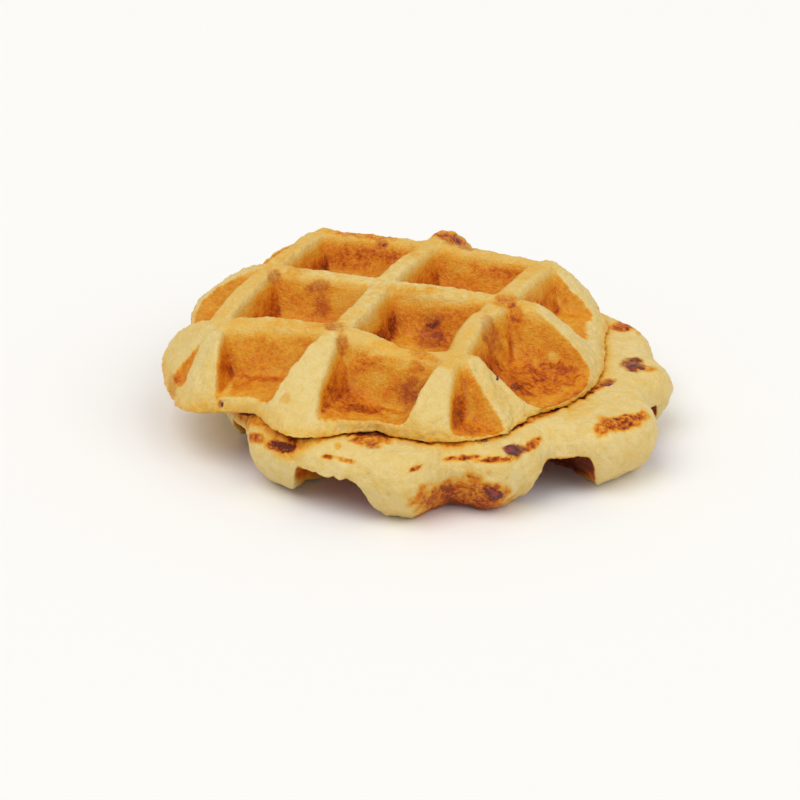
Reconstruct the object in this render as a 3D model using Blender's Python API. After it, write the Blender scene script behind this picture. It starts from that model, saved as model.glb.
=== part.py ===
# A round waffle of one piece, baked dough with a square grid of deep pockets on top
# and a second, turned grid of pockets underneath, joined at a crease round its middle.
# Axes: +X along the upper grid's rows, +Y along its columns, +Z up. It stands on z = 0.
import math

import bmesh
import bpy
import numpy as np

MM = 0.001                 # metres in a millimetre: every size below is in millimetres

# Driving sizes, heights counted from the surface it rests on
THICK = 29.5               # ridge tops of the upper half
SEAM = 15.0                # the crease where the two halves meet
PITCH = 28.5               # from one ridge to the next
RIDGES = 3                 # ridges each way on each half
POCKET_DEPTH = 9.5         # from a ridge top down to a pocket floor
CROWN = 1.3                # half the level width along an upper ridge
FOOT = 3.0                 # half the level width along a lower ridge, which it stands on
WALL_RUN = 6.6             # how far a pocket wall leans out, from floor to crown
RIGHT_RUN = 5.0            # the same for a wall above that faces +X
CORNER_BLEND = 1.2         # rounding where two ridges meet
DOME = 0.6                 # how much a crossing drops for each pitch squared from the middle
WAVER = 0.7                # how far a ridge wanders off its straight line
WAVER_COLUMNS = (9.0, 0.6, 31.0, 1.1)     # that waver's length and start along Y, then along X
WAVER_ROWS = (10.0, 2.0, 27.0, 0.4)       # the same for rows, along X, then along Y
CREASE_GAPE = 0.5          # how far the upper half's edge lifts off the ledge below it
RIM_BLEND = 0.8            # rounding where a free slope meets the grid

# The lower half is turned and pushed to one side against the upper half
LOWER_TURN = math.radians(-17.5)
LOWER_SHIFT = (12.0, -3.0)
LOWER_EDGE = 9.2           # height of the lower half's outermost edge
LEDGE_FALL = 6.0           # width over which its ledge rounds down to that edge
LEDGE_ROUND = 2.0          # fullness of that rounding, 2 for a quarter of an ellipse
FOOT_CURL = 7.5            # width over which its side curls under to the feet
FOOT_ROUND = 1.7           # fullness of that curl
FLARE_RUN = 14.0           # how far in from the rim a ridge's end is wider or narrower
CORNER_FILL = (36.0, -38.0, 12.0, 10.0)    # a corner below that stayed solid: where, height, spread
FOOT_LIFTS = ((4.0, -47.5, 2.2, 6.0), (48.5, -8.5, 1.2, 3.5))     # ridge ends that stand off the table
BELLY = 2.5                # how far the upper half's underside sags below its edge
BELLY_RUN = 9.0            # width over which it does
BELLY_FULL = 0.5           # below 1 that sag is full
SHARP_FROM = math.radians(35.0)            # edges that turn more than this stay sharp

# Uneven places of the upper half: where, how much higher, how far it spreads
UPPER_SWELLS = (
    (-38.0, -42.0, -5.0, 18.0),     # the corner that hangs over droops
    (24.0, 38.0, -1.8, 11.0),       # the back row sags beside its last crossing
    (19.0, -26.0, -1.6, 10.0),      # and so does the front row
)
# Where a pocket at the rim is pressed deeper: where, how much, how far it spreads
UPPER_DEEPS = (
    (44.0, -21.0, 2.2, 10.0), (41.0, -12.0, 2.6, 8.0),     # right
    (38.0, -40.0, 2.4, 8.0), (14.0, -38.0, 2.8, 8.0),      # front
)
# Where a ridge's end bends aside: where, how far, how far it spreads
COLUMN_BENDS = (
    (-28.0, -44.0, 4.0, 12.0), (36.0, -43.0, -2.6, 9.0),
    (26.0, -17.0, -3.2, 14.0), (20.0, -48.0, 2.0, 7.0),
)
ROW_BENDS = ((44.0, -27.0, -5.0, 10.0), (19.0, -27.0, -1.8, 10.0))

# Rims: bearing from the half's centre in degrees, radius, width of the free slope inside it
# and its bulge, which is 1 for a straight slope and less for a full one.
# A ridge's end pushes the rim out into a lobe, and a pocket leaves a dip between lobes.
UPPER_RIM = (
    (-89.0, 55.3, 25.0, 0.72), (-71.0, 49.4, 11.0, 0.6), (-65.0, 52.3, 10.0, 0.6),
    (-59.0, 55.4, 17.0, 0.6), (-50.0, 56.6, 11.5, 0.8), (-43.0, 56.2, 15.0, 0.95),
    (-37.0, 53.4, 16.0, 1.0), (-33.0, 52.0, 13.0, 1.0), (-28.0, 52.4, 4.5, 0.5),
    (-16.0, 52.9, 5.0, 0.5), (-9.0, 52.4, 12.0, 0.8), (-2.0, 51.4, 17.0, 0.8),
    (8.0, 50.0, 16.0, 1.0), (20.0, 49.7, 17.0, 1.0), (32.0, 52.0, 16.0, 0.8),
    (46.0, 53.5, 12.0, 0.6), (60.0, 55.0, 14.0, 0.6),
    (75.0, 49.5, 10.0, 0.6), (90.0, 52.0, 14.0, 0.6), (106.0, 48.0, 10.0, 0.6),
    (123.0, 50.5, 15.0, 0.6), (134.0, 49.0, 8.0, 0.6), (145.0, 50.0, 14.0, 0.55),
    (163.0, 46.0, 10.0, 0.6), (180.0, 47.8, 18.0, 0.6), (197.0, 44.8, 10.0, 0.6),
    (214.0, 51.0, 13.0, 0.6), (226.0, 51.5, 12.0, 0.6), (237.0, 53.0, 12.0, 0.6),
    (256.0, 48.3, 11.0, 0.6),
)
# Below, the third number is half the level width of a ridge that ends there
LOWER_RIM = (
    (-93.0, 54.0, 4.0), (-72.5, 54.5, 1.0), (-57.5, 57.2, 2.0), (-47.0, 50.8, 2.0),
    (-37.0, 54.5, 3.0), (-30.0, 51.8, 3.0), (-21.0, 48.8, 3.0), (-8.0, 56.0, 10.0),
    (3.0, 57.2, 6.5), (18.0, 50.5, 3.0), (31.0, 54.0, 4.0), (42.0, 51.0, 3.0),
    (56.0, 52.8, 4.0), (75.0, 50.5, 3.0), (90.0, 52.0, 4.0), (106.0, 49.0, 3.0),
    (123.0, 52.0, 4.0),
    (134.0, 50.0, 3.0), (145.0, 51.5, 4.0), (163.0, 48.5, 3.0), (180.0, 51.0, 4.0),
    (197.0, 48.0, 3.0), (214.0, 50.0, 4.0), (226.0, 47.5, 3.0), (239.0, 47.5, 4.0),
    (252.0, 48.5, 3.0),
)

CELLS = 130                # mesh cells across each half before thinning
TRIANGLES = 9000           # what the finished solid is thinned to
WELD = 0.05                # points closer than this are one

# Colours as in the photo
DOUGH_COLOUR = (0.72, 0.42, 0.13, 1.0)
DOUGH_ROUGHNESS = 0.5


# Clears the scene
def clear_scene():
    for thing in list(bpy.data.objects):
        bpy.data.objects.remove(thing, do_unlink=True)


# Rounded steps and joins

def smooth_step(t):
    t = np.clip(t, 0.0, 1.0)
    return t * t * (3.0 - 2.0 * t)


def smooth_min(a, b, width):
    share = np.clip(0.5 + 0.5 * (b - a) / width, 0.0, 1.0)
    return b + (a - b) * share - width * share * (1.0 - share)


def smooth_max(a, b, width):
    return -smooth_min(-a, -b, width)


# A rim's radius and its other numbers at any bearing, eased from one row to the next
def rim_at(rim, bearing):
    rows = sorted((math.radians(row[0]) % math.tau, *row[1:]) for row in rim)
    rows.append((rows[0][0] + math.tau, *rows[0][1:]))
    turned = (bearing - rows[0][0]) % math.tau + rows[0][0]
    values = [np.zeros_like(turned) for _ in rows[0][1:]]
    for start, end in zip(rows, rows[1:]):
        inside = (turned >= start[0]) & (turned <= end[0])
        share = smooth_step((turned - start[0]) / (end[0] - start[0]))
        for k, (near, far) in enumerate(zip(start[1:], end[1:])):
            values[k] = np.where(inside, near + (far - near) * share, values[k])
    return values


# A round hump of height 1 over one place
def hump(x, y, place_x, place_y, spread):
    return np.exp(-((x - place_x) ** 2 + (y - place_y) ** 2) / spread ** 2)


# The same for a list of humps, each with its own height
def humps(x, y, places):
    return sum(height * hump(x, y, place_x, place_y, spread)
               for place_x, place_y, height, spread in places)


# How far a ridge's line wanders aside at a point
def wander(along, across, rule):
    return WAVER * np.sin(along / rule[0] + rule[1]) * np.sin(across / rule[2] + rule[3])


# Drop below the ridge tops at a point of a half, in that half's own grid frame
def grid_drop(x, y, crown, right_run):
    across_columns = x + wander(y, x, WAVER_COLUMNS)
    across_rows = y + wander(x, y, WAVER_ROWS)
    outermost = (RIDGES - 1) // 2
    walls = []
    for across, far_run in ((across_columns, right_run), (across_rows, WALL_RUN)):
        nearest = PITCH * np.clip(np.round(across / PITCH), -outermost, outermost)
        run = np.where(across > nearest, far_run, WALL_RUN)
        walls.append(1.0 - smooth_step((np.abs(across - nearest) - crown) / run))
    ridge = smooth_max(walls[0], walls[1], CORNER_BLEND / POCKET_DEPTH)
    return POCKET_DEPTH * (1.0 - np.clip(ridge, 0.0, 1.0))


# Height that a free slope gains by a point so far in from the rim
def free_slope(inward, slope, bulge, rise):
    return rise * np.clip(inward / slope, 0.0, 1.0) ** bulge


# Share of its height that a rounded edge gains by a point so far in from the rim
def round_over(inward, width, fullness):
    out = 1.0 - np.clip(inward / width, 0.0, 1.0)
    return (1.0 - out ** fullness) ** (1.0 / fullness)


# Upper half, its top and its underside
def upper_heights(x, y, inward, slope, bulge):
    bent_x = x - humps(x, y, COLUMN_BENDS)
    bent_y = y - humps(x, y, ROW_BENDS)
    dome = DOME * (x * x + y * y) / PITCH ** 2
    grid = THICK - dome - grid_drop(bent_x, bent_y, CROWN, RIGHT_RUN) - humps(x, y, UPPER_DEEPS)
    edge = SEAM + CREASE_GAPE
    rim = edge + free_slope(inward, slope, bulge, THICK - edge)
    top = np.maximum(smooth_min(grid, rim, RIM_BLEND), edge)
    under = edge - BELLY * smooth_step(inward / BELLY_RUN) ** BELLY_FULL
    uneven = humps(x, y, UPPER_SWELLS)
    return top + uneven, under + uneven


# Lower half, its ledge and its pockets below
def lower_heights(x, y, inward, end_width):
    ledge = LOWER_EDGE + (SEAM - LOWER_EDGE) * round_over(inward, LEDGE_FALL, LEDGE_ROUND)
    near_rim = np.clip(1.0 - inward / FLARE_RUN, 0.0, 1.0)
    grid = grid_drop(x, y, FOOT + (end_width - FOOT) * near_rim, WALL_RUN)
    grid += humps(x, y, FOOT_LIFTS) - humps(x, y, (CORNER_FILL,))
    rim = LOWER_EDGE * (1.0 - round_over(inward, FOOT_CURL, FOOT_ROUND))
    lift = RIM_BLEND / 4.0     # what the rounded join adds where both are level
    under = np.clip(smooth_max(grid, rim, RIM_BLEND) - lift, 0.0, LOWER_EDGE)
    return ledge, np.where(inward > 0.0, under, LOWER_EDGE)


# One half as a closed mesh: a square net drawn out to the rim, above and below
def half_mesh(name, rim, heights, turn, shift):
    steps = np.linspace(-1.0, 1.0, CELLS + 1)
    u, v = np.meshgrid(steps, steps, indexing="ij")
    x = u * np.sqrt(1.0 - v * v / 2.0)
    y = v * np.sqrt(1.0 - u * u / 2.0)
    reach = np.minimum(np.hypot(x, y), 1.0)
    radius, *rim_values = rim_at(rim, np.arctan2(y, x))
    x, y = x * radius, y * radius
    inward = radius * (1.0 - reach)
    edge = (np.abs(u) == 1.0) | (np.abs(v) == 1.0)
    inward[edge] = 0.0
    top, under = heights(x, y, inward, *rim_values)
    across = x * math.cos(turn) - y * math.sin(turn) + shift[0]
    along = x * math.sin(turn) + y * math.cos(turn) + shift[1]
    points = []
    numbers = []
    for level in (top, under):
        index = np.full(u.shape, -1)
        for i, j in np.ndindex(u.shape):
            if level is under and edge[i, j]:
                index[i, j] = numbers[0][i, j]
                continue
            index[i, j] = len(points)
            points.append((across[i, j] * MM, along[i, j] * MM, level[i, j] * MM))
        numbers.append(index)
    faces = []
    for i, j in np.ndindex(CELLS, CELLS):
        loop = [(i, j), (i + 1, j), (i + 1, j + 1), (i, j + 1)]
        faces.append([numbers[0][corner] for corner in loop])
        faces.append([numbers[1][corner] for corner in reversed(loop)])
    mesh = bpy.data.meshes.new(name)
    mesh.from_pydata(points, [], [[int(n) for n in face] for face in faces])
    piece = bpy.data.objects.new(name, mesh)
    bpy.context.scene.collection.objects.link(piece)
    thin = piece.modifiers.new("thin", "DECIMATE")
    thin.ratio = TRIANGLES / 2.0 / (2.0 * len(faces))
    bake(piece)
    return piece


# Baked dough
def dough_material():
    material = bpy.data.materials.new("baked_dough")
    material.use_nodes = True
    shader = material.node_tree.nodes["Principled BSDF"]
    shader.inputs["Base Color"].default_value = DOUGH_COLOUR
    shader.inputs["Roughness"].default_value = DOUGH_ROUGHNESS
    material.diffuse_color = DOUGH_COLOUR
    return material


# Applies a piece's modifiers
def bake(piece):
    graph = bpy.context.evaluated_depsgraph_get()
    mesh = bpy.data.meshes.new_from_object(piece.evaluated_get(graph))
    piece.modifiers.clear()
    piece.data = mesh


# Closes up the slivers that fusing leaves
def weld(piece):
    work = bmesh.new()
    work.from_mesh(piece.data)
    bmesh.ops.remove_doubles(work, verts=work.verts, dist=WELD * MM)
    bmesh.ops.dissolve_degenerate(work, edges=work.edges, dist=WELD * MM)
    bmesh.ops.triangulate(work, faces=work.faces)
    work.to_mesh(piece.data)
    work.free()


# Fuses the two halves and thins the result
def build_waffle():
    waffle = half_mesh("waffle", LOWER_RIM, lower_heights, LOWER_TURN, LOWER_SHIFT)
    upper = half_mesh("upper_half", UPPER_RIM, upper_heights, 0.0, (0.0, 0.0))
    halves = bpy.data.collections.new("halves")
    bpy.context.scene.collection.objects.unlink(upper)
    halves.objects.link(upper)
    bpy.context.scene.collection.children.link(halves)
    union = waffle.modifiers.new("fuse", "BOOLEAN")
    union.operation = "UNION"
    union.operand_type = "COLLECTION"
    union.collection = halves
    union.solver = "EXACT"
    bake(waffle)
    bpy.data.objects.remove(upper, do_unlink=True)
    bpy.data.collections.remove(halves)
    weld(waffle)
    return waffle


# Levels the feet that it stands on, then puts the middle of its box over the origin
def settle(piece):
    places = np.array([corner.co for corner in piece.data.vertices])
    places[:, 2] = np.where(places[:, 2] < WELD * MM, 0.0, places[:, 2])
    low, high = places.min(axis=0), places.max(axis=0)
    middle = np.array([(low[0] + high[0]) / 2.0, (low[1] + high[1]) / 2.0, 0.0])
    for corner, place in zip(piece.data.vertices, places - middle):
        corner.co = place
    return middle


def main():
    clear_scene()
    waffle = build_waffle()
    middle = settle(waffle)
    waffle.data.materials.clear()
    waffle.data.materials.append(dough_material())
    waffle.data.shade_smooth()
    waffle.data.set_sharp_from_angle(angle=SHARP_FROM)
    print("triangles", len(waffle.data.polygons), "middle", middle / MM)
    return middle


main()
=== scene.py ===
import math

import bmesh
import bpy
import numpy as np
from mathutils import Matrix, Vector
from mathutils.kdtree import KDTree


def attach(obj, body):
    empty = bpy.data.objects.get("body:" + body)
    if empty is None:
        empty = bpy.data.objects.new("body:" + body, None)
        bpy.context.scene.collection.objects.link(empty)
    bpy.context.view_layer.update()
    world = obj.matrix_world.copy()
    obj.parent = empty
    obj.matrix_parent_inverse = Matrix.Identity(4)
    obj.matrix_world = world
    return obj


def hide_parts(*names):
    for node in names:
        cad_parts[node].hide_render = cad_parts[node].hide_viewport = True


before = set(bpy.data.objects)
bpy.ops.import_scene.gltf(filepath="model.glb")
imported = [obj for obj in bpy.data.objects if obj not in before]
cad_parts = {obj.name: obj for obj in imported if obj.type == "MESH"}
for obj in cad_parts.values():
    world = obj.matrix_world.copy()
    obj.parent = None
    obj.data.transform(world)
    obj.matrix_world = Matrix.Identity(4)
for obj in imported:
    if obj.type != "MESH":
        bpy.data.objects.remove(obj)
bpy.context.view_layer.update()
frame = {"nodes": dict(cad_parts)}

mm = 0.001
fullTurn = 2.0 * math.pi
print("frame loaded:", ", ".join(frame["nodes"]))

# Lengths are in millimetres from the upper grid's middle crossing, which is at gridMiddle
# in the model. +X runs along that grid's rows, +Y along its columns.
gridMiddle = (-9.875, 3.331)


def smoothStep(t):
    t = np.clip(t, 0.0, 1.0)
    return t * t * (3.0 - 2.0 * t)


def smoothMin(a, b, width):
    share = np.clip(0.5 + 0.5 * (b - a) / width, 0.0, 1.0)
    return b + (a - b) * share - width * share * (1.0 - share)


def smoothMax(a, b, width):
    return -smoothMin(-a, -b, width)


def humps(x, y, places):      # rounded heaps, each with its place, height and spread
    return sum(height * np.exp(-((x - atX) ** 2 + (y - atY) ** 2) / spread ** 2)
               for atX, atY, height, spread in places)


class SpaceNoise:             # seeded gradient noise at points in space
    def __init__(self, seed):
        draw = np.random.default_rng(seed)
        self.order = draw.permutation(256)
        slopes = draw.normal(size=(256, 3))
        self.slopes = slopes / np.linalg.norm(slopes, axis=1)[:, None]

    def at(self, points, size):
        scaled = points / size
        cell = np.floor(scaled).astype(int)
        within = scaled - cell
        ease = within ** 3 * (within * (within * 6.0 - 15.0) + 10.0)
        total = np.zeros(len(points))
        for corner in np.ndindex(2, 2, 2):
            spot = (cell + corner) & 255
            code = self.order[(self.order[(self.order[spot[:, 0]] + spot[:, 1]) & 255] + spot[:, 2]) & 255]
            weight = np.ones(len(points))
            for axis in range(3):
                weight = weight * (ease[:, axis] if corner[axis] else 1.0 - ease[:, axis])
            total += weight * np.sum(self.slopes[code] * (within - corner), axis=1)
        return total * 1.6    # which brings it to about -1 to 1


gridShape = {
    "thick": 29.5,             # whole height at the middle
    "seam": 15.0,              # height of the crease between the halves
    "pitch": 28.5,             # ridge to ridge
    "ridges": 3,               # ridges each way
    "pocketDepth": 9.5,
    "wallRun": 6.6,            # how far a pocket wall leans out
    "rightRun": 5.0,           # the same for a wall above that faces +X
    "cornerBlend": 1.2,
    "waver": 0.7,              # how far the ridges wander
    "columnWaver": (9.0, 0.6, 31.0, 1.1),      # length and start along Y, then along X
    "rowWaver": (10.0, 2.0, 27.0, 0.4),
}


def wander(along, across, rule):
    return gridShape["waver"] * np.sin(along / rule[0] + rule[1]) * np.sin(across / rule[2] + rule[3])


def gridDrop(x, y, crown, rightRun):    # how far below the ridge tops the iron presses the dough
    shape = gridShape
    wanderX = x + wander(y, x, shape["columnWaver"])
    wanderY = y + wander(x, y, shape["rowWaver"])
    outermost = (shape["ridges"] - 1) // 2
    walls = []
    for across, farRun in ((wanderX, rightRun), (wanderY, shape["wallRun"])):
        ridge = shape["pitch"] * np.clip(np.round(across / shape["pitch"]), -outermost, outermost)
        run = np.where(across > ridge, farRun, shape["wallRun"])
        walls.append(1.0 - smoothStep((np.abs(across - ridge) - crown) / run))
    top = smoothMax(walls[0], walls[1], shape["cornerBlend"] / shape["pocketDepth"])
    return shape["pocketDepth"] * (1.0 - np.clip(top, 0.0, 1.0))


def axesMatrix(right, up, back):
    return Matrix((right, up, back)).transposed().to_4x4()


def placed(name, data):       # a new object in the scene
    thing = bpy.data.objects.new(name, data)
    bpy.context.scene.collection.objects.link(thing)
    return thing


photoView = {
    "azimuth": 21.1,           # degrees round from -Y
    "elevation": 24.4,
    "distance": 440.0,         # mm from the middle crossing's ridge top
    "slideRight": 3.3,
    "slideUp": -26.8,
    "focalPixels": 1962.0,
    "framePixels": 800.0,
    "sensor": 36.0,
    "nearest": 10.0,           # nothing closer than this many mm is drawn
}


def viewAxes(azimuth, elevation):     # right, up and back of something that looks at the middle
    swing = math.radians(azimuth)
    lift = math.radians(elevation)
    back = Vector((math.sin(swing) * math.cos(lift), -math.cos(swing) * math.cos(lift), math.sin(lift)))
    right = Vector((math.cos(swing), math.sin(swing), 0.0))
    return right, back.cross(right), back


def cameraPlace():
    view = photoView
    right, up, back = viewAxes(view["azimuth"], view["elevation"])
    aim = Vector((gridMiddle[0], gridMiddle[1], gridShape["thick"]))
    return aim + back * view["distance"] + right * view["slideRight"] + up * view["slideUp"]


def sightOf(points):          # where points stand in the photo, in pixels, and how far off they are
    view = photoView
    right, up, back = (np.array(axis) for axis in viewAxes(view["azimuth"], view["elevation"]))
    offset = points - np.array(cameraPlace())
    far = -offset @ back
    scale = view["focalPixels"] / far
    middle = view["framePixels"] / 2.0
    return middle + offset @ right * scale, middle - offset @ up * scale, far


def makeCamera():
    view = photoView
    right, up, back = viewAxes(view["azimuth"], view["elevation"])
    data = bpy.data.cameras.new("photo_camera")
    data.sensor_width = view["sensor"]
    data.lens = view["focalPixels"] / view["framePixels"] * view["sensor"]
    data.clip_start = view["nearest"] * mm
    camera = placed("photo_camera", data)
    camera.matrix_world = Matrix.Translation(cameraPlace() * mm) @ axesMatrix(right, up, back)
    bpy.context.scene.camera = camera


def readPoints(piece):
    flat = np.empty(len(piece.data.vertices) * 3)
    piece.data.vertices.foreach_get("co", flat)
    return flat.reshape(-1, 3) / mm


def normalsOf(piece):
    normals = np.empty(len(piece.data.vertices) * 3)
    piece.data.vertex_normals.foreach_get("vector", normals)
    return normals.reshape(-1, 3)


def pieceFrom(name, points, quads, fans):
    mesh = bpy.data.meshes.new(name)
    mesh.vertices.add(len(points))
    mesh.vertices.foreach_set("co", (points * mm).ravel())
    loops = np.concatenate((quads.ravel(), fans.ravel()))
    mesh.loops.add(len(loops))
    mesh.loops.foreach_set("vertex_index", loops)
    mesh.polygons.add(len(quads) + len(fans))
    starts = np.concatenate((np.arange(len(quads)) * 4, len(quads) * 4 + np.arange(len(fans)) * 3))
    mesh.polygons.foreach_set("loop_start", starts)
    mesh.update(calc_edges=True)
    mesh.validate()
    mesh.shade_smooth()
    return placed(name, mesh)


def squareNet(cells):         # a square net wrapped onto a disc
    ticks = np.linspace(-1.0, 1.0, cells + 1)
    u, v = np.meshgrid(ticks, ticks)
    x = u * np.sqrt(1.0 - v * v / 2.0)
    y = v * np.sqrt(1.0 - u * u / 2.0)
    index = np.arange((cells + 1) ** 2).reshape(cells + 1, cells + 1)
    faces = np.stack((index[:-1, :-1], index[:-1, 1:], index[1:, 1:], index[1:, :-1]), axis=-1)
    ring = np.concatenate((index[0, :-1], index[:-1, -1], index[-1, :0:-1], index[:0:-1, 0]))
    return x.ravel(), y.ravel(), faces.reshape(-1, 4), ring


def rimAt(rim, bearing):      # eases every number of the rim's rows between their bearings
    rows = sorted((math.radians(row[0]) % fullTurn,) + tuple(row[1:]) for row in rim)
    rows.append((rows[0][0] + fullTurn,) + rows[0][1:])
    turned = (bearing - rows[0][0]) % fullTurn + rows[0][0]
    stops = np.array([row[0] for row in rows])
    place = np.clip(np.searchsorted(stops, turned, side="right") - 1, 0, len(rows) - 2)
    share = smoothStep((turned - stops[place]) / (stops[place + 1] - stops[place]))
    found = []
    for number in range(1, len(rows[0])):
        values = np.array([row[number] for row in rows])
        found.append(values[place] + (values[place + 1] - values[place]) * share)
    return found


def discPlaces(x, y, rim, edge):    # net points at true size, their way in from the edge, the rim's numbers
    reach = np.hypot(x, y)
    radius, *others = rimAt(rim, np.arctan2(y, x))
    run, share = edge         # the outermost rows stand closer, because the side is steep there
    way = np.maximum(1.0 - reach, 0.0) / share
    near = run * (1.0 - np.cos(np.minimum(way, 1.0) * math.pi / 2.0))
    inward = near + np.maximum(way - 1.0, 0.0) * share / (1.0 - share) * (radius - run)
    drawn = (radius - inward) / np.maximum(reach, 1e-9)
    return x * drawn, y * drawn, inward, others


def ringPlaces(x, y, inward):     # the edge ring drawn in by a length
    far = np.hypot(x, y)
    share = np.maximum(1.0 - inward / far, 0.0)
    return x * share, y * share


def closeRings(ring, rings, count):   # faces from an edge ring through drawn-in rings to a middle point
    size = len(ring)
    loops = [ring] + [count + size * number + np.arange(size) for number in range(rings)]
    faces = []
    for outer, inner in zip(loops[:-1], loops[1:]):
        faces.append(np.stack((outer, np.roll(outer, -1), np.roll(inner, -1), inner), axis=-1))
    middle = np.full(size, count + size * rings)
    fan = np.stack((loops[-1], np.roll(loops[-1], -1), middle), axis=-1)
    return np.concatenate(faces), fan


reliefShape = {
    "seed": 7,
    "swell": (7.0, 0.25, 0.0),     # size, height and how much calmer it is on a pocket's walls
    "lumps": (2.6, 0.3, 0.4),
    "grain": (1.1, 0.2, 1.0),
    "steepening": 1.8,         # the more, the gentler a slope that counts as a wall
    "pits": 900,
    "pitRadius": (0.35, 1.0),
    "pitDepth": (0.1, 0.32),
    "pitReach": 1.6,           # in radii
    "pitFall": 2.0,            # how fast a pit gets shallower away from its middle
}


def roughen(piece, contact, seed):    # moves every point along its normal: lumps, grain and burst bubbles
    points = readPoints(piece)
    normals = normalsOf(piece)
    noise = SpaceNoise(seed)
    move = np.zeros(len(points))
    steep = smoothStep((1.0 - np.abs(normals[:, 2])) * reliefShape["steepening"]) * smoothStep(contact)
    for kind in ("swell", "lumps", "grain"):
        size, height, calm = reliefShape[kind]
        move += height * noise.at(points, size) * (1.0 - calm * steep)
    tree = KDTree(len(points))
    for number, point in enumerate(points):
        tree.insert(point, number)
    tree.balance()
    draw = np.random.default_rng(seed)
    for number in draw.integers(0, len(points), reliefShape["pits"]):
        radius = draw.uniform(*reliefShape["pitRadius"])
        depth = draw.uniform(*reliefShape["pitDepth"])
        for _, other, far in tree.find_range(points[number], radius * reliefShape["pitReach"]):
            move[other] -= depth * math.exp(-(far / radius) ** 2 * reliefShape["pitFall"])
    points += normals * move[:, None]
    points[:, 2] = np.maximum(points[:, 2], 0.0)
    piece.data.vertices.foreach_set("co", (points * mm).ravel())
    piece.data.update()


markEdge = {
    "seed": 31,
    "coarse": (2.6, 0.32),     # size and share of the raggedness
    "fine": (1.3, 0.16),
    "solid": 0.55,             # share of a mark's reach that is full
    "fade": 0.5,
    "near": 3.0,               # pixels round a mark's middle where its surface is looked for
    "depth": (1.5, 2.2),       # how deep it goes: so many mm, and so many times its own reach
    "inPocket": 0.5,           # contact at a mark's middle that puts it in a pocket
    "pocketEdge": 0.6,         # how far past the pocket's edge such a mark still reaches
}


def facingCamera(piece, points):
    towards = np.array(cameraPlace()) - points
    return np.sum(normalsOf(piece) * towards, axis=1) > 0.0


def spotOn(sight, facing, x, y):    # the point of a surface that the photo shows at a pixel
    across, down, far = sight
    near = np.flatnonzero(facing & (np.hypot(across - x, down - y) < markEdge["near"]))
    return near[np.argmin(far[near])] if len(near) else None


def castMarks(marks, piece, points, contact):    # adds up the browning and the juice of all the marks
    facing = facingCamera(piece, points)
    across, down, far = sight = sightOf(points)
    noise = SpaceNoise(markEdge["seed"])
    ragged = 1.0
    for kind in ("coarse", "fine"):
        size, share = markEdge[kind]
        ragged = ragged + share * noise.at(points, size)
    browner = np.zeros(len(points))
    juice = np.zeros(len(points))
    for name, (x, y, halfWide, halfHigh, turn, brown, stain) in marks.items():
        spot = spotOn(sight, facing, x, y)
        if spot is None:
            print("no surface for the mark:", name)
            continue
        angle = math.radians(turn)
        right, up = across - x, y - down
        along = (right * math.cos(angle) + up * math.sin(angle)) / halfWide
        aside = (up * math.cos(angle) - right * math.sin(angle)) / halfHigh
        size = max(halfWide, halfHigh) * far[spot] / photoView["focalPixels"]
        deep = (far - far[spot]) / (markEdge["depth"][0] + markEdge["depth"][1] * size)
        reach = np.sqrt(along ** 2 + aside ** 2) * ragged
        inside = 1.0 - smoothStep((reach - markEdge["solid"]) / markEdge["fade"])
        inside *= np.exp(-deep ** 4)
        if contact[spot] > markEdge["inPocket"]:      # it stays off the free slopes
            inside *= smoothStep(contact + markEdge["pocketEdge"])
        browner += brown * inside
        juice += stain * inside
    return browner, juice


crust = {
    "slope": 0.04,             # bake of the pale free slopes, from 0 to 1
    "ridge": 0.21,             # and of the ridge tops
    "upperPocket": 0.5,
    "lowerPocket": 0.74,
    "frontFrom": (0.04, 0.3),  # share of the depth where a wall starts to brown and is brown
    "rightShadeFrom": (0.3, 0.75),  # the same for the painted shade on walls that face +X
    "rightFacingShade": 0.3,        # how much that painted shade is, on top of their browning
    "facingFull": 0.6,         # share of +X in a wall's normal that gets all of it
    "softSide": 3.2,           # contact over which such a wall turns brown from the rim
    "lip": 0.3,                # extra along the crease: partly toast, partly painted shade of the crease
    "lipWidth": 0.8,
    "ledgeLip": 0.6,           # the same on the ledge under it
    "ledgeRise": 2.0,          # height above the ledge's edge from which it is full
    "contactReach": 2.0,       # mm of the contact that is stored each way
    "markReach": 1.0,          # browning that is stored each way
}


def easeBetween(values, stops):
    return smoothStep((values - stops[0]) / (stops[1] - stops[0]))


def padded(values, count, rest):      # values for all points, with one value for the rest
    return np.concatenate((values, np.full(count - len(values), rest)))


# Browning where the iron touched, painted shade on walls that face +X, and the marks. Points past the
# grid's net get no pocket.
def bakedFields(piece, contact, depth, pocketTone, marks, points):
    facing = np.clip(normalsOf(piece)[:len(contact), 0] / crust["facingFull"], 0.0, 1.0)
    pocket = crust["ridge"] + (pocketTone - crust["ridge"]) * easeBetween(depth, crust["frontFrom"])
    # walls that face +X get darker deep down: partly browning, partly painted shade
    pocket += crust["rightFacingShade"] * easeBetween(depth, crust["rightShadeFrom"]) * facing
    pocket -= (pocket - crust["slope"]) * facing * (1.0 - smoothStep(contact / crust["softSide"]))
    contact = padded(contact, len(points), -crust["contactReach"])
    browner, juice = castMarks(marks, piece, points, contact)
    return {
        "contact": contact / crust["contactReach"] * 0.5 + 0.5,
        "pocket": padded(pocket, len(points), 0.0),
        "browner": browner / crust["markReach"] * 0.5 + 0.5,
        "juice": juice,
    }


def paint(piece, **fields):   # stores each field as a value on every point
    for name, values in fields.items():
        layer = piece.data.attributes.new(name, "FLOAT", "POINT")
        layer.data.foreach_set("value", np.clip(values, 0.0, 1.0).astype(np.float32))


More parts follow.
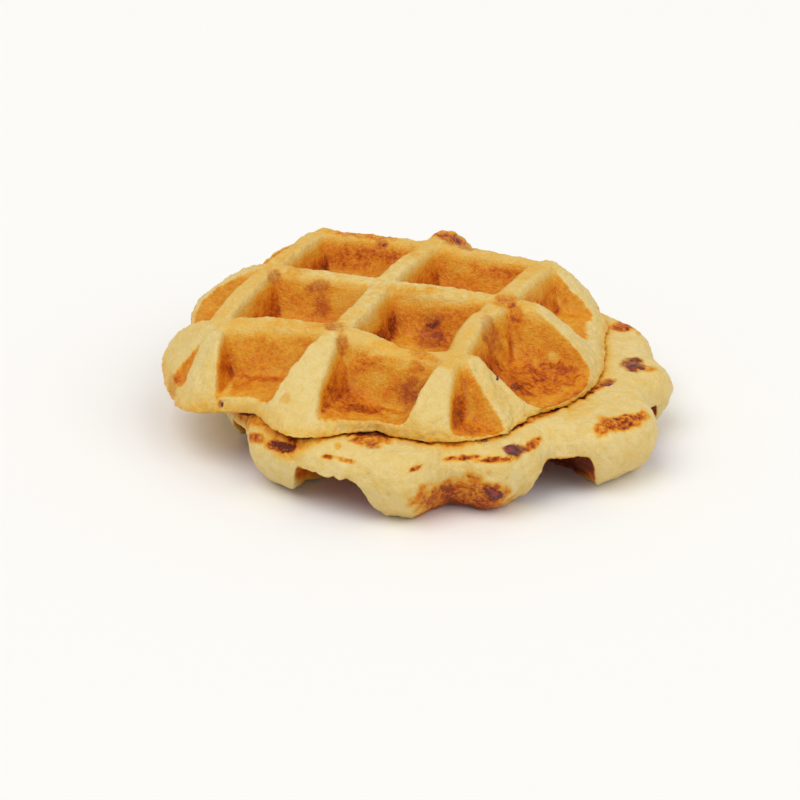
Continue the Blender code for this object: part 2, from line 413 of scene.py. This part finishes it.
upperDough = {
    "name": "upper_half_dough",
    "cells": 296,              # squares of the net, each way
    "edgeRows": (4.0, 0.12),   # width of the closer rows at the rim, and their share of the net
    "crown": 1.3,              # half width of a ridge's level top
    "dome": 0.6,               # how much lower the grid is one pitch from the middle
    "gape": 0.5,               # how far the lip stands off the ledge
    "rimBlend": 0.8,           # how much the grid's and the rim's slopes round into each other
    "belly": 2.5,              # how far the underside sags below the lip
    "bellyRun": 9.0,           # width over which it does
    "bellyFull": 0.5,          # below 1 that sag is full
    "swells": (                # places that stand higher or sag: x, y, height, spread
        (-38.0, -42.0, -5.0, 18.0), (24.0, 38.0, -1.8, 11.0), (19.0, -26.0, -1.6, 10.0),
    ),
    "deeps": (                 # pockets pressed deeper: x, y, depth, spread
        (44.0, -21.0, 2.2, 10.0), (41.0, -12.0, 2.6, 8.0),
        (38.0, -40.0, 2.4, 8.0), (14.0, -38.0, 2.8, 8.0),
    ),
    "columnBends": (           # ridges bent aside: x, y, how far, spread
        (-28.0, -44.0, 4.0, 12.0), (36.0, -43.0, -2.6, 9.0),
        (26.0, -17.0, -3.2, 14.0), (20.0, -48.0, 2.0, 7.0),
    ),
    "rowBends": ((44.0, -27.0, -5.0, 10.0), (19.0, -27.0, -1.8, 10.0)),
    "underSteps": (0.4, 1.1, 2.2, 4.0, 6.5, 9.5, 20.0),    # how far in the underside's rings stand
    "rim": (                   # bearing in degrees, radius, width of the free slope, its bulge
        (-89.0, 55.3, 25.0, 0.72), (-71.0, 49.4, 11.0, 0.6), (-65.0, 52.3, 10.0, 0.6),
        (-59.0, 55.4, 17.0, 0.6), (-50.0, 56.6, 11.5, 0.8), (-43.0, 56.2, 15.0, 0.95),
        (-37.0, 53.4, 16.0, 1.0), (-33.0, 52.0, 13.0, 1.0), (-28.0, 52.4, 4.5, 0.5),
        (-16.0, 52.9, 5.0, 0.5), (-9.0, 52.4, 12.0, 0.8), (-2.0, 51.4, 17.0, 0.8),
        (8.0, 50.0, 16.0, 1.0), (20.0, 49.7, 17.0, 1.0), (32.0, 52.0, 16.0, 0.8),
        (46.0, 53.5, 12.0, 0.6), (60.0, 55.0, 14.0, 0.6), (75.0, 49.5, 10.0, 0.6),
        (90.0, 52.0, 14.0, 0.6), (106.0, 48.0, 10.0, 0.6), (123.0, 50.5, 15.0, 0.6),
        (134.0, 49.0, 8.0, 0.6), (145.0, 50.0, 14.0, 0.55), (163.0, 46.0, 10.0, 0.6),
        (180.0, 47.8, 18.0, 0.6), (197.0, 44.8, 10.0, 0.6), (214.0, 51.0, 13.0, 0.6),
        (226.0, 51.5, 12.0, 0.6), (237.0, 53.0, 12.0, 0.6), (256.0, 48.3, 11.0, 0.6),
    ),
}


# Marks of the baking on the upper half, placed where the photo shows them: pixel x and y,
# half width and half height in pixels, turn in degrees, how much browner, how much juice.
upperMarks = {
    "juice in the front middle pocket": (413, 392, 18, 18, 20, 0.1, 0.6),
    "stain above it": (417, 367, 10, 8, 0, 0.2, 0.15),
    "juice in the middle pocket": (430, 337, 18, 18, 0, 0.1, 0.5),
    "stain on the middle pocket's wall": (431, 320, 13, 9, 0, 0.04, 0.55),
    "juice in the left pocket": (322, 305, 10, 15, 10, 0.06, 0.5),
    "juice on the row behind it": (318, 287, 15, 8, 5, 0.08, 0.6),
    "juice at the left pocket's side": (275, 277, 9, 9, 0, 0.1, 0.6),
    "brown crest of that row": (297, 271, 14, 5, 0, 0.16, 0.1),
    "juice on a crossing": (342, 343, 8, 14, 0, 0.2, 0.5),
    "juice behind that crossing": (334, 327, 12, 5, 0, 0.1, 0.45),
    "juice on the right pocket's wall": (490, 334, 10, 24, 10, 0.1, 0.55),
    "softer crease of that pocket": (512, 346, 8, 18, 8, -0.16, 0.0),
    "paler part of that wall": (502, 352, 9, 18, 12, -0.24, 0.0),
    "toasted crossing": (506, 301, 16, 8, 10, 0.36, 0.15),
    "toasted wall under it": (516, 314, 10, 12, 0, 0.2, 0.08),
    "toasted right pocket": (552, 372, 34, 15, -12, 0.14, 0.0),
    "toasted floor of that pocket": (540, 388, 36, 11, 6, 0.16, 0.06),
    "pale spot in it": (553, 357, 6, 7, 30, -0.3, 0.0),
    "second pale spot": (536, 362, 5, 4, 0, -0.2, 0.0),
    "spot on the back wall": (382, 243, 8, 6, 0, 0.2, 0.35),
    "softer foot of the first pocket's wall": (224, 384, 10, 18, 0, -0.26, 0.0),
    "softer foot of the second pocket's wall": (342, 384, 9, 14, 0, -0.1, 0.0),
    "toast along the back ridge": (377, 235, 54, 5, -3, 0.34, 0.05),
    "toasted back corner": (452, 238, 24, 6, -14, 0.5, 0.15),
    "juice beside it": (467, 246, 12, 5, -12, 0.2, 0.5),
    "toast on the back right wall": (500, 273, 30, 6, -10, 0.14, 0.0),
    "juice on the left lobe": (173, 386, 5, 14, 0, 0.06, 0.3),
    "red spot on the left lobe": (220, 404, 3, 5, 0, 0.2, 0.7),
    "toasted foot of the front right pocket": (482, 424, 22, 12, 10, 0.06, 0.0),
    "paler side of that pocket": (468, 408, 8, 26, 0, -0.1, 0.0),
    "toast in the front middle pocket": (365, 410, 40, 5, -4, 0.12, 0.0),
    "pale streaks in it": (388, 414, 12, 2, -12, -0.2, 0.0),
    "pale patch in it": (368, 381, 16, 9, 12, -0.09, 0.0),
    "toasted wall in it": (366, 365, 22, 7, 0, 0.1, 0.0),
    "toast in the front left pocket": (262, 378, 34, 4, -6, 0.12, 0.0),
    "toast at the front left pocket's end": (285, 399, 8, 6, 30, 0.14, 0.1),
    "toast in the back left pocket": (350, 262, 26, 10, -5, 0.1, 0.0),
    "toasted back wall": (382, 250, 56, 12, -4, 0.12, 0.0),
    "pale wall of the middle pocket": (432, 300, 42, 9, -4, -0.16, 0.0),
    "pale wall of the left pocket": (345, 300, 22, 14, 0, -0.12, 0.0),
    "toast on the first row's left end": (296, 324, 36, 6, -2, 0.14, 0.0),
    "toasted crossing of the first row": (336, 326, 16, 8, -10, 0.12, 0.15),
    "sagging row's orange front": (380, 358, 30, 4, -8, 0.16, 0.0),
    "orange end of that front": (424, 356, 18, 5, -12, 0.24, 0.12),
    "toast of the second row": (408, 289, 46, 5, -5, 0.24, 0.05),
    "orange corner of the middle pocket": (446, 340, 16, 10, -30, 0.16, 0.0),
    "pale foot of the left wall there": (372, 322, 10, 12, 0, -0.14, 0.0),
    "toasted back right wall": (490, 262, 50, 10, -10, 0.08, 0.0),
    "softer crease of the far right pocket": (553, 304, 8, 13, 0, -0.22, 0.0),
    "golden end of the back row": (556, 268, 18, 5, 10, 0.07, 0.0),
    "golden front of the first row": (392, 344, 34, 8, 6, 0.12, 0.0),
    "golden side of the last ridge end": (497, 396, 12, 16, 30, 0.08, 0.0),
}


def freeSlope(inward, slope, bulge, rise):
    return rise * np.clip(inward / slope, 0.0, 1.0) ** bulge


# Height of each point, contact, which is how many mm the iron reached into the free slope
# there, and share of a pocket's depth. lowerUnder gives the same for the lower half.
def upperTop(x, y, inward, slope, bulge):
    part = upperDough
    bentX = x - humps(x, y, part["columnBends"])
    bentY = y - humps(x, y, part["rowBends"])
    dome = part["dome"] * (x * x + y * y) / gridShape["pitch"] ** 2
    drop = gridDrop(bentX, bentY, part["crown"], gridShape["rightRun"])
    grid = gridShape["thick"] - dome - drop - humps(x, y, part["deeps"])
    edge = gridShape["seam"] + part["gape"]
    rim = edge + freeSlope(inward, slope, bulge, gridShape["thick"] - edge)
    top = np.maximum(smoothMin(grid, rim, part["rimBlend"]), edge)
    return top + humps(x, y, part["swells"]), rim - grid, drop / gridShape["pocketDepth"]


def makeUpperHalf():
    part = upperDough
    x, y, quads, ring = squareNet(part["cells"])
    ring = ring[::-1]         # so that the underside faces down
    x, y, inward, (slope, bulge) = discPlaces(x, y, part["rim"], part["edgeRows"])
    inward[ring] = 0.0
    top, contact, depth = upperTop(x, y, inward, slope, bulge)
    edge = gridShape["seam"] + part["gape"]
    rows = [np.stack((x, y, top), axis=-1)]
    steps = part["underSteps"]
    for step in steps:
        inX, inY = ringPlaces(x[ring], y[ring], step)
        low = edge - part["belly"] * smoothStep(step / part["bellyRun"]) ** part["bellyFull"]
        low = low + humps(inX, inY, part["swells"])
        rows.append(np.stack((inX, inY, low), axis=-1))
    rows.append(np.array([[0.0, 0.0, edge - part["belly"]]]))
    points = np.concatenate(rows)
    points[:, 0] += gridMiddle[0]
    points[:, 1] += gridMiddle[1]
    under, fan = closeRings(ring, len(steps), len(x))
    piece = pieceFrom(part["name"], points, np.concatenate((quads, under)), fan)
    fields = bakedFields(piece, contact, depth, crust["upperPocket"], upperMarks, points)
    # the lip darkens towards the crease, and the whole underside as much: partly toast, partly painted
    # shade of the crease and the overhang
    fields["lip"] = padded(crust["lip"] * np.exp(-inward / crust["lipWidth"]), len(points), crust["lip"])
    paint(piece, **fields)
    roughen(piece, padded(contact, len(points), 0.0), reliefShape["seed"])
    return piece


lowerDough = {
    "name": "lower_half_dough",
    "cells": 238,
    "edgeRows": (7.5, 0.23),   # these two as above
    "turn": math.radians(-17.5),    # of this half against the upper one
    "shift": (12.0, -3.0),
    "foot": 3.0,               # half width of a ridge where it stands
    "edge": 9.2,               # height of the rim's edge
    "ledgeFall": 6.0,          # width over which the ledge rounds down to that edge
    "ledgeRound": 2.0,         # 2 is a quarter of an ellipse
    "footCurl": 7.5,           # width over which the side curls under to the feet
    "footRound": 1.7,          # how full that curl is
    "flareRun": 14.0,          # width over which a ridge widens to its end
    "cornerFill": (36.0, -38.0, 12.0, 10.0),   # a corner that stayed solid below
    "footLifts": ((4.0, -47.5, 2.2, 6.0), (48.5, -8.5, 1.2, 3.5)),    # ridge ends off the table
    "rimBlend": 0.8,
    "ledgeRings": (20, 22, 0.5),    # rings on its rounding, on its level part, and their step
    "tuck": {                  # the ledge sinks where the upper half covers it
        "sink": 1.6,
        "run": 3.0,            # width over which it does
        "start": 0.3,          # how many of those widths in from the lip it starts
        "level": 1.0,          # it does so only this close below the crease's height
    },
    "rim": (                   # bearing in degrees, radius, half width of the ridge ending there
        (-93.0, 54.0, 4.0), (-72.5, 54.5, 1.0), (-57.5, 57.2, 2.0), (-47.0, 50.8, 2.0),
        (-37.0, 54.5, 3.0), (-30.0, 51.8, 3.0), (-21.0, 48.8, 3.0), (-8.0, 56.0, 10.0),
        (3.0, 57.2, 6.5), (18.0, 50.5, 3.0), (31.0, 54.0, 4.0), (42.0, 51.0, 3.0),
        (56.0, 52.8, 4.0), (75.0, 50.5, 3.0), (90.0, 52.0, 4.0), (106.0, 49.0, 3.0),
        (123.0, 52.0, 4.0), (134.0, 50.0, 3.0), (145.0, 51.5, 4.0), (163.0, 48.5, 3.0),
        (180.0, 51.0, 4.0), (197.0, 48.0, 3.0), (214.0, 50.0, 4.0), (226.0, 47.5, 3.0),
        (239.0, 47.5, 4.0), (252.0, 48.5, 3.0),
    ),
}


# The same on the lower half.
lowerMarks = {
    # this line under the overhanging lobe is partly toast, partly painted shade
    "brown line under the left lobe": (250, 413, 14, 3, -4, 0.6, 0.1),
    "spots on the left ledge": (256, 424, 8, 3, 0, 0.22, 0.0),
    "brown patch on the left ledge": (256, 438, 10, 7, -20, 0.62, 0.2),
    "brown patch beside it": (279, 446, 18, 6, -8, 0.6, 0.1),
    "dark spot in it": (293, 440, 6, 3, 0, 0.4, 0.15),
    "toast below the front middle pocket": (372, 439, 24, 9, -2, 0.66, 0.16),
    "dark line in it": (371, 446, 7, 4, 0, 0.16, 0.6),
    # partly toast, partly painted shade of the crease
    "toast along the crease there": (365, 433, 34, 3, -2, 0.5, 0.1),
    "drip beside it": (338, 446, 4, 4, 0, 0.36, 0.0),
    "left streak": (328, 457, 8, 3.2, -4, 0.8, 0.1),
    "end of the left streak": (345, 460, 13, 2.6, -12, 0.7, 0.0),
    "short streak": (416, 468, 8, 3.0, 22, 0.75, 0.35),
    "long streak": (462, 458, 24, 3.8, 3, 0.72, 0.0),
    "end of the long streak": (495, 460, 24, 3.2, 4, 0.7, 0.0),
    "juice on the ledge": (515, 450, 14, 7, 4, 0.3, 1.2),
    "toast to its right": (533, 444, 15, 5, 38, 0.66, 0.0),
    "big streak": (618, 424, 33, 10, 13, 0.72, 0.0),
    "juice at the right": (632, 364, 14, 9, 10, 0.3, 1.1),
    "orange rim of it": (646, 368, 12, 5, 0, 0.34, 0.1),
    "juice in the crease": (609, 382, 10, 3.4, 12, 0.4, 0.8),
    # these lines along the crease are partly toast, partly painted shade of the crease
    "line along the crease": (586, 394, 22, 3, 26, 0.55, 0.0),
    "brown of the front crease": (515, 427, 24, 3, 20, 0.5, 0.0),
    "brown of the crease beside it": (552, 411, 18, 3, 26, 0.4, 0.0),
    "toasted back corner below": (622, 327, 15, 6, -4, 0.62, 0.0),
    "brown end of it": (642, 332, 8, 4, -10, 0.3, 0.0),
    "brown dip at the front": (465, 502, 56, 29, 4, 0.66, 0.3),
    "dark valley in it": (449, 498, 9, 22, 6, 0.14, 0.4),
    # the notch's inside: browned underside, darkened further as painted shade in the recess
    "brown in the right notch": (566, 462, 34, 20, 0, 0.5, 0.3),
    "paler end of the left notch": (298, 474, 26, 14, 8, -0.3, 0.0),
    "juice in the dip": (491, 494, 13, 8, -30, 0.2, 1.0),
    "golden ledge at the right": (580, 412, 24, 9, 24, 0.08, 0.0),
}


def roundOver(inward, width, fullness):     # share of its height that a rounded edge gains
    out = 1.0 - np.clip(inward / width, 0.0, 1.0)
    return (1.0 - out ** fullness) ** (1.0 / fullness)


def lowerUnder(x, y, inward, endWidth):
    part = lowerDough
    nearRim = np.clip(1.0 - inward / part["flareRun"], 0.0, 1.0)
    grid = gridDrop(x, y, part["foot"] + (endWidth - part["foot"]) * nearRim, gridShape["wallRun"])
    grid += humps(x, y, part["footLifts"]) - humps(x, y, (part["cornerFill"],))
    rim = part["edge"] * (1.0 - roundOver(inward, part["footCurl"], part["footRound"]))
    under = np.clip(smoothMax(grid, rim, part["rimBlend"]) - part["rimBlend"] / 4.0, 0.0, part["edge"])
    return np.where(inward > 0.0, under, part["edge"]), grid - rim, grid / gridShape["pocketDepth"]


def ledgeTop(inward):
    part = lowerDough
    rise = gridShape["seam"] - part["edge"]
    return part["edge"] + rise * roundOver(inward, part["ledgeFall"], part["ledgeRound"])


def pastLip(points):          # how far outside the upper half's rim each point stands
    x = points[:, 0] - gridMiddle[0]
    y = points[:, 1] - gridMiddle[1]
    return np.hypot(x, y) - rimAt(upperDough["rim"], np.arctan2(y, x))[0]


def ledgeToastAndShade(points):       # browner on the ledge close outside the upper half's lip: partly toast, partly painted shade of the crease
    toast = np.exp(-np.maximum(pastLip(points), 0.0) / crust["lipWidth"])
    upper = smoothStep((points[:, 2] - lowerDough["edge"]) / crust["ledgeRise"])
    return crust["ledgeLip"] * toast * upper


def makeLowerHalf():
    part = lowerDough
    x, y, quads, ring = squareNet(part["cells"])
    x, y, inward, (endWidth,) = discPlaces(x, y, part["rim"], part["edgeRows"])
    inward[ring] = 0.0
    under, contact, depth = lowerUnder(x, y, inward, endWidth)
    rows = [np.stack((x, y, under), axis=-1)]
    rounding, level, levelStep = part["ledgeRings"]
    angles = np.arange(1, rounding + 1) / rounding * math.pi / 2.0
    steps = part["ledgeFall"] * (1.0 - np.cos(angles))
    steps = np.concatenate((steps, part["ledgeFall"] + levelStep * np.arange(1, level + 1)))
    for step in steps:
        inX, inY = ringPlaces(x[ring], y[ring], step)
        rows.append(np.stack((inX, inY, ledgeTop(np.full(len(ring), step))), axis=-1))
    rows.append(np.array([[0.0, 0.0, gridShape["seam"]]]))
    points = np.concatenate(rows)
    turn = part["turn"]
    turnedX = points[:, 0] * math.cos(turn) - points[:, 1] * math.sin(turn)
    turnedY = points[:, 0] * math.sin(turn) + points[:, 1] * math.cos(turn)
    points[:, 0] = turnedX + part["shift"][0] + gridMiddle[0]
    points[:, 1] = turnedY + part["shift"][1] + gridMiddle[1]
    tuck = part["tuck"]
    level = smoothStep(points[:, 2] - gridShape["seam"] + tuck["level"])
    points[:, 2] -= tuck["sink"] * smoothStep(-pastLip(points) / tuck["run"] - tuck["start"]) * level
    top, fan = closeRings(ring, len(steps), len(x))
    piece = pieceFrom(part["name"], points, np.concatenate((quads[:, ::-1], top)), fan)
    fields = bakedFields(piece, contact, depth, crust["lowerPocket"], lowerMarks, points)
    fields["lip"] = ledgeToastAndShade(points)
    paint(piece, **fields)
    roughen(piece, padded(contact, len(points), 0.0), reliefShape["seed"] + 1)
    return piece


bitShape = {
    "name": "fruit_bits",
    "seed": 5,
    "steps": 4,                # how finely each lump is divided
    "dent": (0.7, 0.26),       # size and share of its unevenness
    "sunk": 0.72,              # share of its height that is inside the dough
}


# Berry pieces: the half that carries it, pixel x and y, half width, half height and thickness
# in mm, turn in degrees.
berryBits = {
    "in the right pocket": ("upper", 500, 377, 0.55, 0.9, 0.7, -10),
    "on the ledge": ("lower", 515, 449, 1.9, 1.3, 0.7, 8),
    "at the right": ("lower", 630, 364, 2.2, 2.2, 0.8, 0),
    "beside it": ("lower", 641, 366, 1.2, 1.4, 0.6, 30),
    "in the crease": ("lower", 608, 382, 1.6, 1.1, 0.8, 20),
    "under the front lip": ("lower", 484, 438, 1.0, 0.7, 0.6, 10),
    "in the front dip": ("lower", 491, 494, 2.3, 1.2, 0.8, -32),
    "in the back wall": ("upper", 382, 243, 1.0, 0.7, 0.6, 0),
    "on the left lobe": ("upper", 220, 404, 0.45, 0.8, 0.5, 0),
}


def makeBits(halves):
    shape = bitShape
    noise = SpaceNoise(shape["seed"])
    work = bmesh.new()
    for name, (half, x, y, halfWide, halfHigh, thick, turn) in berryBits.items():
        points = readPoints(halves[half])
        spot = spotOn(sightOf(points), facingCamera(halves[half], points), x, y)
        if spot is None:
            print("no surface for the bit:", name)
            continue
        up = Vector(normalsOf(halves[half])[spot])
        right = viewAxes(photoView["azimuth"], photoView["elevation"])[0]
        right = (right - up * right.dot(up)).normalized()
        turned = axesMatrix(right, up.cross(right), up) @ Matrix.Rotation(math.radians(turn), 4, "Z")
        lump = bmesh.ops.create_icosphere(work, subdivisions=shape["steps"], radius=1.0)["verts"]
        middle = Vector(points[spot]) - up * thick * shape["sunk"]
        rounds = np.array([corner.co for corner in lump])
        dents = 1.0 + shape["dent"][1] * noise.at(rounds + middle, shape["dent"][0] * 2.0)
        for corner, dent in zip(lump, dents):
            place = Vector((corner.co.x * halfWide, corner.co.y * halfHigh, corner.co.z * thick))
            corner.co = (middle + (turned @ (place * float(dent)))) * mm
    mesh = bpy.data.meshes.new(shape["name"])
    work.to_mesh(mesh)
    work.free()
    mesh.shade_smooth()
    return placed(shape["name"], mesh)


class Wire:                   # one socket of a node tree, with arithmetic
    def __init__(self, tree, socket=None):
        self.tree = tree
        self.socket = socket

    def add(self, kind, settings=None, sockets=None, output=0):
        node = self.tree.nodes.new(kind)
        for name, value in (settings or {}).items():
            if name == "stops":
                self.setStops(node.color_ramp, value)
            else:
                setattr(node, name, value)
        for name, value in (sockets or {}).items():
            if isinstance(value, Wire):
                self.tree.links.new(value.socket, node.inputs[name])
            else:
                node.inputs[name].default_value = value
        return Wire(self.tree, node.outputs[output]) if node.outputs else node

    def setStops(self, ramp, stops):
        while len(ramp.elements) < len(stops):
            ramp.elements.new(1.0)
        for element, (place, colour) in zip(ramp.elements, stops):
            element.position = place
            element.color = colour

    def calc(self, operation, first, second):
        return self.add("ShaderNodeMath", {"operation": operation}, {0: first, 1: second})

    def __add__(self, other):
        return self.calc("ADD", self, other)

    def __radd__(self, other):
        return self.calc("ADD", other, self)

    def __sub__(self, other):
        return self.calc("SUBTRACT", self, other)

    def __rsub__(self, other):
        return self.calc("SUBTRACT", other, self)

    def __mul__(self, other):
        return self.calc("MULTIPLY", self, other)

    def __rmul__(self, other):
        return self.calc("MULTIPLY", other, self)

    def attribute(self, name):
        return self.add("ShaderNodeAttribute", {"attribute_name": name}, output="Fac")

    def noise(self, place, scale, detail, roughness):
        return self.add("ShaderNodeTexNoise", {}, {
            "Vector": place, "Scale": scale, "Detail": detail, "Roughness": roughness})

    def bump(self, height, strength, distance):
        return self.add("ShaderNodeBump", {}, {
            "Height": height, "Strength": strength, "Distance": distance})

    def mix(self, share, first, second):
        return self.add("ShaderNodeMix", {"data_type": "RGBA"}, {0: share, 6: first, 7: second}, 2)

    def clamp(self):
        return self.add("ShaderNodeClamp", {}, {"Value": self})

    def between(self, low, high):     # 0 below low, 1 above high, eased between
        return self.add("ShaderNodeMapRange", {"interpolation_type": "SMOOTHSTEP"},
                        {"Value": self, "From Min": low, "From Max": high})


def blankMaterial(name):      # a material without nodes, and the wire that adds them
    material = bpy.data.materials.new(name)
    material.use_nodes = True
    material.node_tree.nodes.clear()
    return material, Wire(material.node_tree)


def tone(red, green, blue):   # a colour as a screen shows it, 0 to 255, made linear
    linear = []
    for part in (red, green, blue):
        part /= 255.0
        linear.append(part / 12.92 if part <= 0.04045 else ((part + 0.055) / 1.055) ** 2.4)
    return (*linear, 1.0)


doughLook = {
    "stops": (                 # from raw to burnt
        (0.0, tone(224, 200, 136)),
        (0.1, tone(222, 190, 112)),
        (0.25, tone(222, 174, 76)),
        (0.42, tone(220, 155, 42)),
        (0.58, tone(212, 126, 22)),
        (0.75, tone(182, 84, 6)),
        (0.9, tone(128, 48, 5)),
        (1.0, tone(86, 28, 6)),
    ),
    "juice": tone(160, 74, 34),
    "darkJuice": tone(104, 34, 22),
    "darkFrom": (0.45, 1.0),   # stain at which the juice starts to darken and is dark
    "crumb": tone(248, 208, 136),
    "crumbIn": (0.1, 0.26),    # noise at which pale crumbs start and are full
    "crumbShare": (0.34, 0.16),    # their share on raw dough, and how much less on burnt dough
    "butter": tone(216, 184, 94),      # buttery patches on the pale dough
    "butterIn": (-0.02, 0.2),
    "butterShare": 0.5,
    "paleFall": 4.0,           # how fast they end as the dough browns
    "noises": {                # bumps to the metre, detail, roughness
        "patch": (95.0, 2.0, 0.5),
        "mottle": (260.0, 3.0, 0.55),
        "clumps": (480.0, 2.0, 0.6),
        "speckle": (1100.0, 2.0, 0.6),
        "fine": (2400.0, 2.0, 0.6),
    },
    "uneven": (0.6, 0.7, 0.6),     # how much mottle, speckle and patch change the browning
    "ragged": (2.2, 1.3),      # mm that clumps and speckle move the browned areas' edges
    "pressed": (-0.35, 0.75),  # mm of contact at which the browning starts and is full
    "roughness": 0.5,
    "glint": 0.25,             # coat of the scattered glossy specks
    "glintIn": (0.08, 0.22),
    "specular": 0.16,
    "bump": (0.6, 0.5 * mm),   # strength and distance
}


def doughMaterial():
    look = doughLook
    material, net = blankMaterial("baked_dough_look")
    place = net.add("ShaderNodeTexCoord", output="Object")
    noises = {kind: net.noise(place, *rule) - 0.5 for kind, rule in look["noises"].items()}
    patch, mottle, clumps, speckle, fine = noises.values()
    contact = (net.attribute("contact") - 0.5) * (2.0 * crust["contactReach"])
    ragged = clumps * look["ragged"][0] + speckle * look["ragged"][1]
    pressed = (contact + ragged).between(*look["pressed"])
    bake = (net.attribute("pocket") - crust["slope"]) * pressed + crust["slope"]
    browner = (net.attribute("browner") - 0.5) * (2.0 * crust["markReach"])
    # lip: darker along the crease, partly toast, partly painted shade
    bake = bake + net.attribute("lip") * (0.8 + clumps * 1.6) + browner * (1.0 + clumps * 0.8 + speckle)
    byMottle, bySpeckle, byPatch = look["uneven"]
    uneven = mottle * byMottle + speckle * bySpeckle + patch * byPatch
    baked = (bake + uneven * (0.25 + bake * 0.9)).clamp()
    colour = net.add("ShaderNodeValToRGB", {"stops": look["stops"]}, {"Fac": baked})
    stained = (net.attribute("juice") * (0.8 + mottle * 1.2 + speckle * 1.2)).clamp()
    juice = net.mix(stained.between(*look["darkFrom"]), look["juice"], look["darkJuice"])
    colour = net.mix(stained, colour, juice)
    pale = (1.0 - baked * look["paleFall"]).clamp()
    butter = (clumps + mottle * 0.6).between(*look["butterIn"]) * pale * look["butterShare"]
    colour = net.mix(butter, colour, look["butter"])
    onRaw, lessOnBurnt = look["crumbShare"]
    crumb = (fine + speckle * 0.6).between(*look["crumbIn"]) * (onRaw - baked * lessOnBurnt)
    colour = net.mix(crumb, colour, look["crumb"])
    height = fine * 0.8 + speckle + clumps * 0.9 + mottle * 0.6
    bump = net.bump(height, *look["bump"])
    shader = net.add("ShaderNodeBsdfPrincipled", {}, {
        "Base Color": colour,
        "Roughness": (look["roughness"] + speckle * 0.5).clamp(),
        "Normal": bump,
        "Coat Weight": (speckle + fine).between(*look["glintIn"]) * look["glint"],
        "Coat Roughness": 0.25,
        "Specular IOR Level": look["specular"],
        "Subsurface Weight": 0.12,
        "Subsurface Radius": (1.0, 0.5, 0.2),
        "Subsurface Scale": 1.5 * mm,
    })
    net.add("ShaderNodeOutputMaterial", {}, {"Surface": shader})
    return material


berryLook = {
    "skin": tone(84, 22, 16),
    "flesh": tone(142, 40, 22),
    "fleshIn": (0.42, 0.62),   # noise at which the flesh starts to show and shows fully
    "blotch": (700.0, 2.0, 0.6),
    "fine": (1900.0, 2.0, 0.6),
    "roughness": 0.4,
    "coat": 0.15,
    "bump": (0.5, 0.15 * mm),
}


def berryMaterial():
    look = berryLook
    material, net = blankMaterial("baked_berry_look")
    place = net.add("ShaderNodeTexCoord", output="Object")
    blotch = net.noise(place, *look["blotch"])
    colour = net.mix(blotch.between(*look["fleshIn"]), look["skin"], look["flesh"])
    bump = net.bump(net.noise(place, *look["fine"]), *look["bump"])
    shader = net.add("ShaderNodeBsdfPrincipled", {}, {
        "Base Color": colour,
        "Roughness": look["roughness"],
        "Normal": bump,
        "Coat Weight": look["coat"],
    })
    net.add("ShaderNodeOutputMaterial", {}, {"Surface": shader})
    return material


floorLook = {
    "half": 1.6,               # metres
    "colour": tone(243, 242, 240),
    "roughness": 0.85,
    "specular": 0.2,
}


def makeFloor():
    side = floorLook["half"]
    mesh = bpy.data.meshes.new("floor")
    mesh.from_pydata([(-side, -side, 0.0), (side, -side, 0.0), (side, side, 0.0), (-side, side, 0.0)],
                     [], [(0, 1, 2, 3)])
    material = bpy.data.materials.new("pale_floor")
    material.use_nodes = True
    shader = material.node_tree.nodes["Principled BSDF"]
    shader.inputs["Base Color"].default_value = floorLook["colour"]
    shader.inputs["Roughness"].default_value = floorLook["roughness"]
    shader.inputs["Specular IOR Level"].default_value = floorLook["specular"]
    mesh.materials.append(material)
    placed("floor", mesh)


studio = {
    "sky": 0.56,
    "lights": {                # azimuth, elevation, strength, degrees across, colour
        "key": (-36.0, 64.0, 1.25, 48.0, (1.0, 0.99, 0.96)),
        "fill": (76.0, 46.0, 0.8, 50.0, (1.0, 0.99, 0.97)),
    },
}


def makeLights():
    world = bpy.data.worlds.new("studio_sky")
    world.use_nodes = True
    sky = world.node_tree.nodes["Background"]
    sky.inputs["Color"].default_value = (1.0, 1.0, 1.0, 1.0)
    sky.inputs["Strength"].default_value = studio["sky"]
    bpy.context.scene.world = world
    for name, (azimuth, elevation, strength, wide, colour) in studio["lights"].items():
        data = bpy.data.lights.new(name, "SUN")
        data.angle = math.radians(wide)
        data.energy = strength
        data.color = colour
        light = placed(name, data)
        light.matrix_world = axesMatrix(*viewAxes(azimuth, elevation))
    bpy.context.scene.view_settings.view_transform = "Standard"


makeCamera()
makeLights()
makeFloor()
print("camera, lights and floor made")
doughFinish = doughMaterial()
halves = {"upper": makeUpperHalf(), "lower": makeLowerHalf()}
fruitBits = makeBits(halves)
for half in halves.values():
    half.data.materials.append(doughFinish)
    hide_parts("waffle")
fruitBits.data.materials.append(berryMaterial())
for piece in (*halves.values(), fruitBits):
    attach(piece, "root")
    print(piece.name, "made with", len(piece.data.polygons), "faces")
